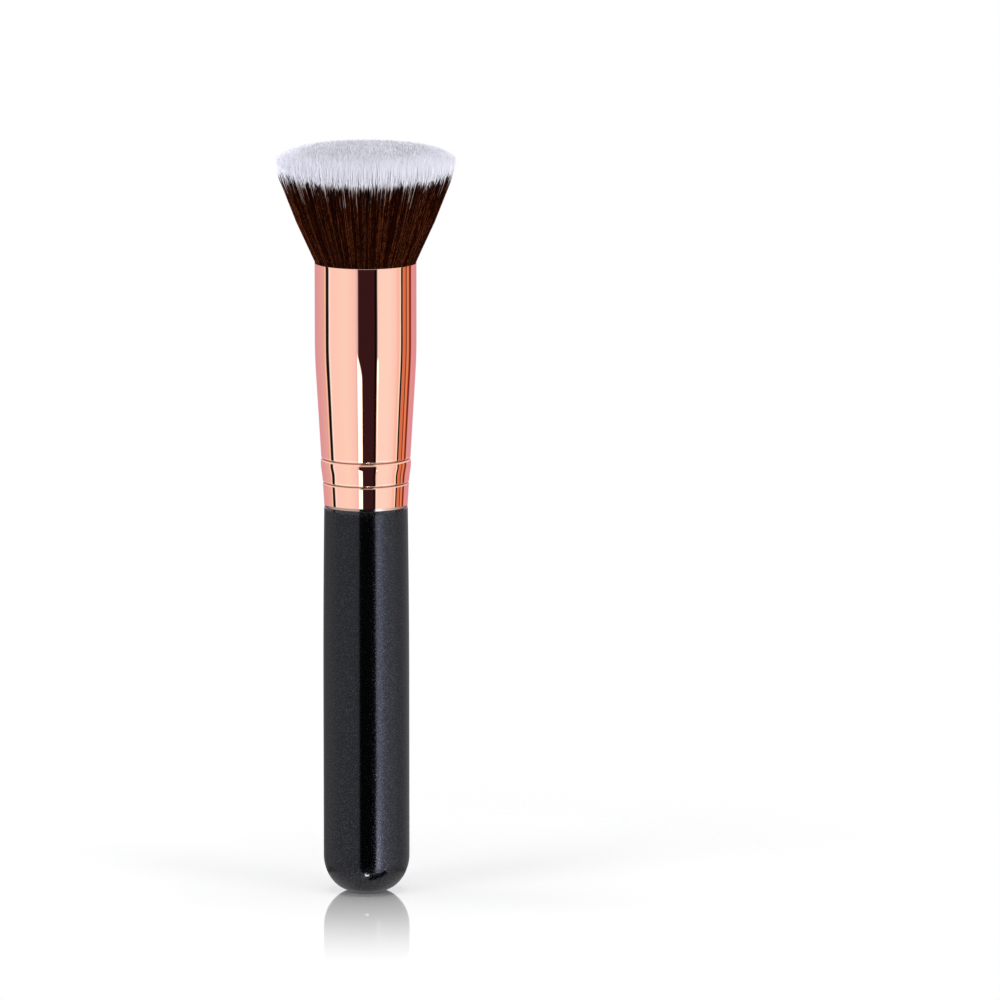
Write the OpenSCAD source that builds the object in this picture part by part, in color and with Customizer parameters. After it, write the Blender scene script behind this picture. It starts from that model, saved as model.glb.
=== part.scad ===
// Flat-top kabuki makeup brush, millimetres, standing on its butt end with +Z up.
// The origin is the centre of the flat on the butt end.

/* [Handle] */
// Length of the handle below the ferrule
handle_len = 76.8; // [60:0.2:110]
// Diameter of the straight barrel
handle_d = 16.9; // [16.6:0.1:19]
// Height over which the butt end rounds in
butt_h = 7.2; // [4:0.1:12]
// Diameter of the flat at the butt end
butt_flat_d = 5; // [2:0.1:8]
// Length of the neck that narrows to the ferrule
neck_len = 35; // [10:1:45]
// Round on the shoulder, where the handle meets the ferrule
shoulder_round = 0.2; // [0.1:0.05:0.4]

/* [Ferrule] */
// Length of the ferrule
ferrule_len = 48; // [46:0.5:60]
// Outer diameter at the mouth
mouth_d = 20; // [18:0.1:24]
// Outer diameter at the foot, flush with the handle
foot_d = 16.4; // [14:0.1:16.6]
// Height above the foot at which the taper ends
taper_len = 29.7; // [22:0.1:36]
// Radius that blends the taper into the straight mouth
knee_r = 120; // [40:5:200]
// Wall thickness of the tube
wall = 0.5; // [0.3:0.05:0.7]
// Round on the outer edge of the foot
foot_round = 0.15; // [0.05:0.05:0.25]

/* [Crimps] */
// Height of the lower crimp above the foot
crimp_low = 4.6; // [3:0.1:5]
// Distance between the two crimps
crimp_gap = 4.7; // [3.5:0.1:6]
// Width of each crimp
crimp_w = 0.7; // [0.5:0.1:1.6]
// Depth of each crimp
crimp_depth = 0.2; // [0.1:0.05:0.5]
// Swell of the tube between the two crimps
swell = 0.18; // [0:0.02:0.3]

/* [Tenon] */
// Length of the tenon inside the ferrule
tenon_len = 14; // [13:0.5:18]
// Thickness of the glue at the foot of the ferrule
glue_gap = 0.2; // [0.1:0.05:0.4]
// Chamfer on the end of the tenon
tenon_chamfer = 0.8; // [0.3:0.1:1.5]
// How much deeper than a crimp the groove in the tenon is
groove_extra = 0.2; // [0.1:0.05:0.4]

/* [Tuft] */
// Length of the tuft above the mouth of the ferrule
tuft_len = 23; // [18:0.2:35]
// Diameter of the tuft at its widest, which a strand that strays outward reaches
tuft_d = 35.4; // [28:0.2:44]
// How much the tuft is drawn in at the dye line, on each side
shoulder_in = 0.6; // [0.3:0.1:2]
// Height of the domed face above the rim of the tuft
dome_h = 2.2; // [1:0.1:6]
// How flat the middle of the face stays before it rounds over, 2 for a round dome
dome_power = 6; // [2:0.5:10]
// Height of the white tips at the rim of the tuft
tip_len = 3; // [1.5:0.1:6]
// Rows of strands across the tuft, whose square is the number of strands
strand_rows = 20; // [18:2:22]
// Width of a strand at the dye line, as a share of its cell
strand_fill = 0.9; // [0.7:0.02:0.94]
// Width of a strand at its tip, as a share of its cell
tip_fill = 0.4; // [0.2:0.05:0.5]
// How far the tip of a strand strays in its cell, as a share of the cell
tip_stray = 0.4; // [0:0.05:0.5]
// Most that a strand falls short of the face of the tuft
ragged = 0.4; // [0:0.05:0.8]

/* [Root] */
// Length of the roots inside the ferrule
root_len = 15; // [13:0.5:18]
// Depth below the mouth at which the strands part
part_depth = 0.3; // [0.2:0.1:1]
// Clearance between the roots and the wall of the ferrule
root_clear = 0.1; // [0.05:0.05:0.2]
// Depth below the mouth at which the waist of the roots starts
waist_depth = 7; // [4:0.5:8]
// How far the thread pulls the roots in
waist_in = 0.9; // [0.7:0.05:1.2]
// Diameter of the binding thread
thread_d = 0.5; // [0.3:0.05:0.6]
// Turns of the binding thread
thread_turns = 4; // [2:1:4]
// Gap between turns of the binding thread
thread_gap = 0.45; // [0.42:0.02:0.6]
// Thickness of the resin below the roots
resin_floor = 2.5; // [1.5:0.1:4]
// Hollow of the meniscus under the resin
meniscus = 0.6; // [0.2:0.1:1]

/* [Hidden] */
$fn = 96;

// Clearance of the roots in the thread and the resin that hold them
touch = 0.02;

handle_r = handle_d / 2;
butt_flat_r = butt_flat_d / 2;
foot_r = foot_d / 2;
mouth_r = mouth_d / 2;
tuft_r = tuft_d / 2;
neck_z = handle_len - neck_len;
foot_z = handle_len;
mouth_z = foot_z + ferrule_len;
crimp_high = crimp_low + crimp_gap;

// Taper of the ferrule and the arc that blends it into the mouth
taper = atan((mouth_r - foot_r) / taper_len);
knee_top = taper_len + knee_r * tan(taper / 2);
knee_low = knee_top - knee_r * sin(taper);

// Tenon, roots, thread and resin all follow the inside of the ferrule
tenon_r = foot_r - wall - glue_gap;
bundle_r = mouth_r - wall - root_clear;
waist_r = bundle_r - waist_in;
root_end_r = bundle_r - waist_in / 2;
thread_pitch = thread_d + thread_gap;
waist_len = thread_turns * thread_pitch + thread_d;
resin_top = ferrule_len - waist_depth - waist_len;
root_end = ferrule_len - root_len;
resin_low = root_end - resin_floor;

// Share of a raised cosine, 1 at its middle and 0 past half its width
function bump(s, middle, width) =
    abs(s - middle) < width / 2 ? (1 + cos(360 * (s - middle) / width)) / 2 : 0;

function crimp(s, width) = bump(s, crimp_low, width) + bump(s, crimp_high, width);

// Swell between the crimps, fullest just under the upper one
function swelling(s) =
    s > crimp_low && s < crimp_high ? sin(180 * pow((s - crimp_low) / crimp_gap, 2)) : 0;

// Radius of the ferrule before it is crimped, s above its foot
function drawn_r(s) =
    s >= knee_top ? mouth_r
    : s > knee_low ? mouth_r - knee_r + sqrt(pow(knee_r, 2) - pow(knee_top - s, 2))
    : foot_r + s * tan(taper);

function outer_r(s) = drawn_r(s) + swell * swelling(s) - crimp_depth * crimp(s, crimp_w);

function inner_r(s) = outer_r(s) - wall;

// Radius of the tenon, whose grooves are wider and deeper than the crimps
function tenon_at(s) = tenon_r - (crimp_depth + groove_extra) * crimp(s, 1.4 * crimp_w);

function between(low, high, steps) = [for (i = [0:steps]) low + (high - low) * i / steps];

// Heights along the crimped stretch at which a profile has a point
crimp_heights = concat(
    between(crimp_low - 0.7 * crimp_w, crimp_low + 0.7 * crimp_w, 14),
    between(crimp_low + 0.7 * crimp_w, crimp_high - 0.7 * crimp_w, 6),
    between(crimp_high - 0.7 * crimp_w, crimp_high + 0.7 * crimp_w, 14)
);

knee_heights = between(knee_low, knee_top, 8);

function within(heights, low, high) = [for (s = heights) if (s > low && s < high) s];

function reversed(list) = [for (i = [len(list) - 1:-1:0]) list[i]];

// Quarter of an ellipse from its lowest point out to its side
function butt_curve() = [
    for (a = [0:6:90])
        [butt_flat_r + (handle_r - butt_flat_r) * sin(a), butt_h * (1 - cos(a))]
];

function neck_curve() = [
    for (t = between(0.2, 1, 8))
        [handle_r - (handle_r - foot_r) * pow(t, 2),
         neck_z + t * (neck_len - shoulder_round)]
];

function shoulder_curve() = [
    for (a = [30:30:90])
        [foot_r - shoulder_round * (1 - cos(a)), foot_z - shoulder_round * (1 - sin(a))]
];

// Turned handle with its grooved tenon, one piece of lacquered wood
module handle() {
    tenon_heights = concat([0], crimp_heights, [tenon_len - tenon_chamfer]);
    tenon_side = [for (s = tenon_heights) [tenon_at(s), foot_z + s]];
    profile = concat(
        [[0, 0]],
        butt_curve(),
        [[handle_r, neck_z]],
        neck_curve(),
        shoulder_curve(),
        tenon_side,
        [[tenon_r - tenon_chamfer, foot_z + tenon_len], [0, foot_z + tenon_len]]
    );
    color([0.06, 0.06, 0.07])
        rotate_extrude()
            polygon(profile);
}

// Glue that fills the space between the tenon and the ferrule
module tenon_glue() {
    top = tenon_len - tenon_chamfer;
    heights = concat([0], crimp_heights, [top]);
    outside = [for (s = heights) [inner_r(s), foot_z + s]];
    inside = [for (s = reversed(heights)) [tenon_at(s), foot_z + s]];
    color([0.86, 0.8, 0.62])
        rotate_extrude()
            polygon(concat(outside, inside));
}

// Drawn aluminium tube with a rounded mouth and two rolled crimps
module ferrule() {
    heights = concat(crimp_heights, knee_heights);
    lip_r = wall / 2;
    foot_edge = [
        for (a = [0:30:90])
            [foot_r - foot_round * (1 - sin(a)), foot_z + foot_round * (1 - cos(a))]
    ];
    outside = [for (s = heights) [outer_r(s), foot_z + s]];
    lip = [
        for (a = [0:20:180])
            [mouth_r - lip_r + lip_r * cos(a), mouth_z - lip_r + lip_r * sin(a)]
    ];
    inside = [for (s = reversed(heights)) [inner_r(s), foot_z + s]];
    color([0.93, 0.68, 0.6])
        rotate_extrude()
            polygon(concat(foot_edge, outside, lip, inside, [[inner_r(0), foot_z]]));
}

// Plug of cast resin that grips the ends of the roots
module root_resin() {
    heights = concat([resin_low], within(knee_heights, resin_low, resin_top), [resin_top]);
    outside = [for (s = heights) [inner_r(s), foot_z + s]];
    hollow = [
        for (t = between(0, 1, 6))
            [t * inner_r(resin_low), foot_z + resin_low + meniscus * (1 - pow(t, 2))]
    ];
    color([0.82, 0.74, 0.5])
        rotate_extrude()
            polygon(concat(
                hollow,
                [for (p = outside) if (p[1] > foot_z + resin_low) p],
                [[waist_r + touch, foot_z + resin_top], [root_end_r + touch, foot_z + root_end]],
                [[0, foot_z + root_end]]
            ));
}

// Thread wound round the waist of the roots in one unbroken tube
thread_sides = 6;
thread_rings = 24;
wound_r = waist_r + thread_d / 2 + touch;
thread_low = mouth_z - waist_depth - waist_len + thread_d;

function thread_point(ring, side) =
    let (
        turn = 360 * ring / thread_rings,
        around = 360 * side / thread_sides,
        r = wound_r + thread_d / 2 * cos(around),
        z = thread_low + thread_pitch * ring / thread_rings + thread_d / 2 * sin(around)
    )
    [r * cos(turn), r * sin(turn), z];

module root_thread() {
    last = thread_turns * thread_rings;
    points = [for (ring = [0:last], side = [0:thread_sides - 1]) thread_point(ring, side)];
    skin = [
        for (ring = [0:last - 1], side = [0:thread_sides - 1])
            let (
                a = ring * thread_sides + side,
                b = ring * thread_sides + (side + 1) % thread_sides,
                c = a + thread_sides,
                d = b + thread_sides
            )
            each [[a, b, d], [a, d, c]]
    ];
    start = [for (side = [1:thread_sides - 2]) [0, side + 1, side]];
    first = last * thread_sides;
    end = [for (side = [1:thread_sides - 2]) [first, first + side, first + side + 1]];
    echo(least_gap_between_turns = thread_pitch - thread_d);
    color([0.9, 0.88, 0.82])
        polyhedron(concat(points), concat(skin, start, end));
}

// A square grid is laid on the round bundle, and each of its cells is the root of a strand.
// Strands share the edges of their roots, lean out with the bundle, and part on the way.
rows = strand_rows;
corners = rows + 1;
cells = rows * rows;
part_z = mouth_z - part_depth;
dye_z = mouth_z + tuft_len - dome_h - tip_len;
dye_r = tuft_r - shoulder_in;
tip_r = tuft_r / (1 - (1 - tip_fill - tip_stray) / rows);

// Maps a point of the square from -1 to 1 onto the unit disc, ring by ring
function on_disc(u, v) =
    u == 0 && v == 0 ? [0, 0]
    : abs(u) >= abs(v) ? u * [cos(45 * v / u), sin(45 * v / u)]
    : v * [sin(45 * u / v), cos(45 * u / v)];

function grid_point(i, j) = on_disc(2 * i / rows - 1, 2 * j / rows - 1);

function cell_corners(i, j) = [
    grid_point(i, j), grid_point(i + 1, j), grid_point(i + 1, j + 1), grid_point(i, j + 1)
];

// Height of the domed face over a point, rho from 0 at the axis to 1 at the rim
function face_z(rho) = mouth_z + tuft_len - dome_h * pow(rho, dome_power);

// Four corners of a strand at one height, drawn in from its cell and moved aside in it.
// Each stays inside its own cell at both of its heights, so no two strands cross.
function ring_of(cell, fill, aside, r, z) =
    let (
        middle = (cell[0] + cell[1] + cell[2] + cell[3]) / 4,
        shift = aside[0] * (cell[1] - cell[0]) + aside[1] * (cell[3] - cell[0])
    )
    [for (p = cell) let (q = r * (middle + shift + fill * (p - middle))) [q[0], q[1], z]];

module bristles() {
    lengths = rands(-ragged, 0, cells, 7);
    asides = rands(-tip_stray / 2, tip_stray / 2, 2 * cells, 11);
    roots = [
        for (i = [0:rows], j = [0:rows])
            let (p = bundle_r * grid_point(i, j))
            [p[0], p[1], part_z]
    ];
    strands = [
        for (i = [0:rows - 1], j = [0:rows - 1])
            let (
                k = i * rows + j,
                cell = cell_corners(i, j),
                rho = norm((cell[0] + cell[2]) / 2),
                z = face_z(rho) + lengths[k]
            )
            each concat(
                ring_of(cell, strand_fill, [0, 0], dye_r, dye_z),
                ring_of(cell, tip_fill, [asides[2 * k], asides[2 * k + 1]], tip_r, z)
            )
    ];
    function root_id(i, j) = i * corners + j;
    function strand_id(i, j) = corners * corners + (i * rows + j) * 8;
    walls = [
        for (i = [0:rows - 1], j = [0:rows - 1])
            let (
                base = [root_id(i, j), root_id(i + 1, j), root_id(i + 1, j + 1), root_id(i, j + 1)],
                s = strand_id(i, j)
            )
            each concat(
                [
                    for (k = [0:3])
                        let (n = (k + 1) % 4)
                        each [
                            [base[k], s + k, s + n], [base[k], s + n, base[n]],
                            [s + k, s + 4 + k, s + 4 + n], [s + k, s + 4 + n, s + n]
                        ]
                ],
                [[s + 4, s + 7, s + 6], [s + 4, s + 6, s + 5]]
            )
    ];
    // Outline of the grid, once round, seen from above against the clock
    outline = concat(
        [for (i = [0:rows - 1]) [i, 0]],
        [for (j = [0:rows - 1]) [rows, j]],
        [for (i = [rows:-1:1]) [i, rows]],
        [for (j = [rows:-1:1]) [0, j]]
    );
    around = len(outline);
    bundle_rings = [
        [waist_r, mouth_z - waist_depth],
        [waist_r, mouth_z - waist_depth - waist_len],
        [root_end_r, mouth_z - root_len]
    ];
    bundle = [
        for (ring = bundle_rings, p = outline)
            let (q = ring[0] * grid_point(p[0], p[1]))
            [q[0], q[1], ring[1]]
    ];
    first = corners * corners + cells * 8;
    function bundle_id(ring, k) =
        ring == 0 ? root_id(outline[k % around][0], outline[k % around][1])
        : first + (ring - 1) * around + k % around;
    sides = [
        for (ring = [0:2], k = [0:around - 1])
            let (
                a = bundle_id(ring, k),
                b = bundle_id(ring, k + 1),
                c = bundle_id(ring + 1, k),
                d = bundle_id(ring + 1, k + 1)
            )
            each [[a, b, d], [a, d, c]]
    ];
    middle = first + 3 * around;
    floor = [for (k = [0:around - 1]) [middle, bundle_id(3, k), bundle_id(3, k + 1)]];
    color([0.2, 0.1, 0.06])
        polyhedron(
            concat(roots, strands, bundle, [[0, 0, mouth_z - root_len]]),
            concat(walls, sides, floor)
        );
}

handle();
tenon_glue();
ferrule();
root_resin();
root_thread();
bristles();
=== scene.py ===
# A flat-top kabuki brush: dyed fibre tuft, polished rose-gold ferrule, black pearl handle.
# It stands on its butt end with +Z up. The scene is in metres, the dictionaries in millimetres.

import math

import bmesh
import bpy
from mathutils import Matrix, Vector


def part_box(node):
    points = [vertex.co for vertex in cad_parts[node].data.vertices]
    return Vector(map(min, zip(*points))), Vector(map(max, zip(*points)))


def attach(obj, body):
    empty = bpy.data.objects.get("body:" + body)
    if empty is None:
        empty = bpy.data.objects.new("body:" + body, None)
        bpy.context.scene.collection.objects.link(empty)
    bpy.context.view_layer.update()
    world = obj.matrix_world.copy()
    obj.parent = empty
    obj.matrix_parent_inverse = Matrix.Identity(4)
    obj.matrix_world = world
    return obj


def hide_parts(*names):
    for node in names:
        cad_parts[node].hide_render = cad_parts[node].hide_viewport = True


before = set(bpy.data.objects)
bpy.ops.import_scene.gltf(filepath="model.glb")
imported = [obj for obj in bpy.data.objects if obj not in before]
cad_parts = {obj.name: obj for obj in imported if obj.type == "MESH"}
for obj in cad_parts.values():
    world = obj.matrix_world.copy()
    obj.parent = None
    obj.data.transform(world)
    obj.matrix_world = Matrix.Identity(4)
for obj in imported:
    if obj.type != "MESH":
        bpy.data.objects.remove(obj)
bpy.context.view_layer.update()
mm = 0.001

ferruleLow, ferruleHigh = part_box("ferrule")
footZ = ferruleLow[2]  # foot of the ferrule, where the handle's shoulder is
mouthZ = ferruleHigh[2]  # mouth of the ferrule, where the fibres come out
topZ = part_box("bristles")[1][2]
white = (1.0, 1.0, 1.0, 1.0)
print("frame loaded, foot of the ferrule at", round(footZ, 4), "mouth at", round(mouthZ, 4))


# Helpers for node trees. A value may be a number, a colour or another node's socket.

def socketOf(sockets, key):
    if isinstance(key, int):
        return sockets[key]
    return next(socket for socket in sockets if key in (socket.identifier, socket.name))


def feed(tree, node, values):
    for key, value in values.items():
        inlet = socketOf(node.inputs, key)
        if isinstance(value, bpy.types.NodeSocket):
            tree.links.new(value, inlet)
        else:
            inlet.default_value = value


def put(tree, kind, values=None, **settings):
    node = tree.nodes.new(kind)
    for key, value in settings.items():
        setattr(node, key, value)
    feed(tree, node, values or {})
    return node


def calc(tree, operation, *values):
    node = put(tree, "ShaderNodeMath", operation=operation)
    feed(tree, node, dict(enumerate(values)))
    return node.outputs[0]


def inMetres(lengths):
    return [length * mm for length in lengths]


def vectorCalc(tree, operation, *values):
    node = put(tree, "ShaderNodeVectorMath", operation=operation)
    feed(tree, node, dict(enumerate(values)))
    return node.outputs[0]


def times(tree, first, *rest):
    for value in rest:
        first = calc(tree, "MULTIPLY", first, value)
    return first


def minus(tree, first, second):
    return calc(tree, "SUBTRACT", first, second)


def mulAdd(tree, first, second, third):  # first times second, plus third
    return calc(tree, "MULTIPLY_ADD", first, second, third)


def addUp(tree, first, *rest):
    for value in rest:
        first = calc(tree, "ADD", first, value)
    return first


def lengthOf(tree, vector):
    return put(tree, "ShaderNodeVectorMath", {0: vector}, operation="LENGTH").outputs["Value"]


def scaled(tree, vector, factor):
    values = {0: vector, "Scale": factor}
    return put(tree, "ShaderNodeVectorMath", values, operation="SCALE").outputs[0]


def axes(tree, vector):
    return put(tree, "ShaderNodeSeparateXYZ", {"Vector": vector}).outputs


def vectorOf(tree, x=0.0, y=0.0, z=0.0):
    return put(tree, "ShaderNodeCombineXYZ", {"X": x, "Y": y, "Z": z}).outputs[0]


def remap(tree, value, low, high, toLow=0.0, toHigh=1.0, interpolation="SMOOTHSTEP"):
    node = put(tree, "ShaderNodeMapRange", {"Value": value}, interpolation_type=interpolation)
    feed(tree, node, {"From Min": low, "From Max": high, "To Min": toLow, "To Max": toHigh})
    return node.outputs[0]


def blend(tree, amount, first, second, mode="MIX"):
    node = put(tree, "ShaderNodeMix", data_type="RGBA", blend_type=mode)
    feed(tree, node, {"Factor_Float": amount, "A_Color": first, "B_Color": second})
    return socketOf(node.outputs, "Result_Color")


def noise(tree, where, scale, detail=2.0, roughness=0.5):
    values = {"Vector": where, "Scale": scale, "Detail": detail, "Roughness": roughness}
    return put(tree, "ShaderNodeTexNoise", values).outputs


def ramp(tree, value, stops, interpolation="LINEAR"):
    node = put(tree, "ShaderNodeValToRGB", {"Fac": value})
    node.color_ramp.interpolation = interpolation
    elements = node.color_ramp.elements
    while len(elements) > 1:
        elements.remove(elements[-1])
    for number, (place, colour) in enumerate(stops):
        element = elements[0] if number == 0 else elements.new(place)
        element.position = place
        element.color = (*colour, 1.0)
    return node.outputs["Color"]


def stretched(tree, where, factors):
    return vectorCalc(tree, "MULTIPLY", where, factors)


# Shader groups that more than one finish uses

def newTree(name, kind, takes, gives):
    tree = bpy.data.node_groups.new(name, kind)
    for way, sockets in (("INPUT", takes), ("OUTPUT", gives)):
        for label, socketKind in sockets.items():
            tree.interface.new_socket(label, in_out=way, socket_type="NodeSocket" + socketKind)
    entry = tree.nodes.new("NodeGroupInput")
    return tree, entry.outputs, tree.nodes.new("NodeGroupOutput")


markLook = {
    "ringScale": (60.0, 60.0, 9000.0),
    "ringEdges": (0.56, 0.72),
    "smudgeScale": 140.0,
    "smudgeEdges": (0.48, 0.7),
    "waveScale": 210.0,
    "waveStretch": (1.0, 1.0, 0.35),
}


def buildPolishMarks():
    # Hairlines from the polishing wheel run round the piece, with a few soft smudges
    look = markLook
    takes = {"Where": "Vector", "Base Roughness": "Float", "Smudge": "Float", "Hairline": "Float"}
    gives = {"Roughness": "Float", "Height": "Float"}
    tree, given, leave = newTree("polishMarks", "ShaderNodeTree", takes, gives)
    rings = noise(tree, stretched(tree, given["Where"], look["ringScale"]), 1.0, 3.0, 0.6)
    lines = remap(tree, rings["Fac"], *look["ringEdges"])
    smudges = noise(tree, given["Where"], look["smudgeScale"], 4.0, 0.62)
    smudges = remap(tree, smudges["Fac"], *look["smudgeEdges"])
    rough = mulAdd(tree, smudges, given["Smudge"], given["Base Roughness"])
    waves = stretched(tree, given["Where"], look["waveStretch"])
    feed(tree, leave, {
        "Roughness": mulAdd(tree, lines, given["Hairline"], rough),
        "Height": noise(tree, waves, look["waveScale"])["Fac"],
    })
    return tree


cloudLook = {
    "scale": 260.0,
    "edges": (0.35, 0.65),
    "bubbleScale": 1500.0,
    "bubbleEdges": (0.12, 0.28),
    "roughness": (0.12, 0.34),
}


def buildEpoxyCloud():
    # Cast or squeezed epoxy: amber, a little cloudy, with small trapped bubbles
    look = cloudLook
    takes = {"Where": "Vector", "Light Tone": "Color", "Deep Tone": "Color", "Bubbles": "Float"}
    gives = {"Color": "Color", "Roughness": "Float", "Height": "Float"}
    tree, given, leave = newTree("epoxyCloud", "ShaderNodeTree", takes, gives)
    cloud = noise(tree, given["Where"], look["scale"], 4.0, 0.6)["Fac"]
    values = {"Vector": given["Where"], "Scale": look["bubbleScale"]}
    cells = put(tree, "ShaderNodeTexVoronoi", values).outputs
    bubble = remap(tree, cells["Distance"], *look["bubbleEdges"], 1.0, 0.0)
    bubble = times(tree, bubble, given["Bubbles"])
    toned = remap(tree, cloud, *look["edges"])
    toned = blend(tree, toned, given["Deep Tone"], given["Light Tone"])
    feed(tree, leave, {
        "Color": blend(tree, times(tree, bubble, 0.5), toned, given["Light Tone"]),
        "Roughness": remap(tree, cloud, 0.3, 0.7, *look["roughness"]),
        "Height": bubble,
    })
    return tree


toneLook = {
    "broadScale": 9.0,
    "fineScale": 90.0,
    "fineShare": 0.93,
    "ownShare": 0.5,
    "edges": (0.5, 0.85),
}


def buildFibreTones():
    # Brown of the dyed fibres, in lighter and darker strands side by side
    look = toneLook
    takes = {"Across": "Vector", "Light Strand": "Color", "Dark Strand": "Color"}
    takes.update({"Own Shade": "Float", "Contrast": "Float"})
    gives = {"Color": "Color", "Mask": "Float"}
    tree, given, leave = newTree("fibreTones", "ShaderNodeTree", takes, gives)
    broad = noise(tree, given["Across"], look["broadScale"], 3.0, 0.55)["Fac"]
    fine = noise(tree, given["Across"], look["fineScale"], 2.0, 0.6)["Fac"]
    mixed = mulAdd(tree, fine, look["fineShare"], times(tree, broad, 1 - look["fineShare"]))
    lifted = mulAdd(tree, minus(tree, given["Own Shade"], 0.5), look["ownShare"], mixed)
    mask = times(tree, remap(tree, lifted, *look["edges"]), given["Contrast"])
    feed(tree, leave, {
        "Color": blend(tree, mask, given["Dark Strand"], given["Light Strand"]),
        "Mask": mask,
    })
    return tree


polishMarks = buildPolishMarks()
epoxyCloud = buildEpoxyCloud()
fibreTones = buildFibreTones()


# Finishes

def newFinish(name):
    material = bpy.data.materials.new(name)
    material.use_nodes = True
    tree = material.node_tree
    return material, tree, tree.nodes["Principled BSDF"]


def objectPlace(tree):
    return put(tree, "ShaderNodeTexCoord").outputs["Object"]


def useGroup(tree, group, values):
    node = put(tree, "ShaderNodeGroup", node_tree=group)
    feed(tree, node, values)
    return node.outputs


def marksOn(tree, where, look):
    return useGroup(tree, polishMarks, {
        "Where": where,
        "Base Roughness": look["roughness"],
        "Smudge": look["smudge"],
        "Hairline": look["hairline"],
    })


def bump(tree, height, strength, distance):
    values = {"Height": height, "Strength": strength, "Distance": distance}
    return put(tree, "ShaderNodeBump", values).outputs["Normal"]


roseGoldLook = {
    "metal": (0.99, 0.6, 0.455, 1.0),
    "edgeTint": (0.93, 0.72, 0.74, 1.0),
    "roughness": 0.015,
    "smudge": 0.018,
    "hairline": 0.012,
    "wave": 0.012,  # how far the drawn tube is from a true mirror
    "crimpPaintedShade": (0.16, 0.05, 0.03, 1.0),  # painted shade: the bottom of a crimp is darkened, standing in for its shadow
    "paintedLineWidth": 0.36,
    "crimpPaintedHighlight": (1.0, 0.8, 0.68, 1.0),  # painted highlight: the edge above a crimp is made brighter
    "paintedHighlightRise": 0.46,
    "paintedLipRise": 0.08,  # painted highlight on the edge of the foot too
}


def makeRoseGold():
    material, tree, shader = newFinish("roseGold")
    where = objectPlace(tree)
    look = roseGoldLook
    marks = marksOn(tree, where, look)
    height = axes(tree, where)["Z"]

    def paintedLineAt(rise):  # a soft painted line round the tube, so far above its foot
        off = calc(tree, "ABSOLUTE", minus(tree, height, footZ + rise * mm))
        return remap(tree, off, 0.0, look["paintedLineWidth"] / 2 * mm, 1.0, 0.0)

    # Painted shade in the crimps, and painted highlights above them and on the foot's edge, all in the
    # metal's colour
    deep, edge = 0.0, paintedLineAt(look["paintedLipRise"])
    for middle in crimpHeights:
        deep = calc(tree, "MAXIMUM", paintedLineAt(middle), deep)
        edge = calc(tree, "MAXIMUM", paintedLineAt(middle + look["paintedHighlightRise"]), edge)
    highlighted = blend(tree, edge, look["metal"], look["crimpPaintedHighlight"])
    feed(tree, shader, {
        "Base Color": blend(tree, deep, highlighted, look["crimpPaintedShade"]),
        "Metallic": 1.0,
        "Specular Tint": look["edgeTint"],
        "Roughness": marks["Roughness"],
        "Normal": bump(tree, marks["Height"], 1.0, look["wave"] * mm),
    })
    return material


lacquerLook = {
    "black": (0.005, 0.005, 0.006, 1.0),
    "pearl": (0.014, 0.014, 0.016, 1.0),  # fine pearl powder in the black
    "flake": (0.21, 0.215, 0.26, 1.0),
    "flakeSize": 0.13,
    "flakeShare": 0.42,
    "flakeTilt": 0.13,
    "flakeEdge": (0.3, 0.55),
    "pearlScale": 2600.0,
    "roughness": 0.28,
    "smudge": 0.03,
    "hairline": 0.02,
    "flakeFadeToNeck": 0.7,  # share of the flakes' brightness left at the neck; towards the butt they are brighter
    "coatIor": 1.45,
    "coatRoughness": 0.02,
}


def makeLacquer():
    material, tree, shader = newFinish("pearlLacquer")
    where = objectPlace(tree)
    look = lacquerLook
    values = {"Vector": where, "Scale": 1 / (look["flakeSize"] * mm)}
    cells = put(tree, "ShaderNodeTexVoronoi", values).outputs
    pick = put(tree, "ShaderNodeSeparateColor", {"Color": cells["Color"]}).outputs
    isFlake = calc(tree, "GREATER_THAN", pick["Red"], 1 - look["flakeShare"])
    flake = remap(tree, cells["Distance"], *look["flakeEdge"], 1.0, 0.0)
    flake = times(tree, isFlake, flake)
    height = axes(tree, where)["Z"]
    flakeFadeToNeck = remap(tree, height, 0.0, footZ, 1.0, look["flakeFadeToNeck"], "LINEAR")
    glow = times(tree, flake, times(tree, pick["Green"], flakeFadeToNeck))
    depth = noise(tree, where, look["pearlScale"])["Fac"]
    base = blend(tree, remap(tree, depth, 0.3, 0.7), look["black"], look["pearl"])
    # Each flake lies a little askew
    tilt = vectorCalc(tree, "SUBTRACT", cells["Color"], (0.5, 0.5, 0.5))
    normal = put(tree, "ShaderNodeNewGeometry").outputs["Normal"]
    tilted = vectorCalc(tree, "ADD", normal, scaled(tree, tilt, look["flakeTilt"]))
    turned = put(tree, "ShaderNodeMix", data_type="VECTOR")
    feed(tree, turned, {
        "Factor_Float": flake,
        "A_Vector": normal,
        "B_Vector": vectorCalc(tree, "NORMALIZE", tilted),
    })
    marks = marksOn(tree, where, look)
    feed(tree, shader, {
        "Base Color": blend(tree, glow, base, look["flake"]),
        "Metallic": 1.0,
        "Roughness": marks["Roughness"],
        "Normal": socketOf(turned.outputs, "Result_Vector"),
        "Coat Weight": 1.0,
        "Coat IOR": look["coatIor"],
        "Coat Roughness": look["coatRoughness"],
    })
    return material


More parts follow.
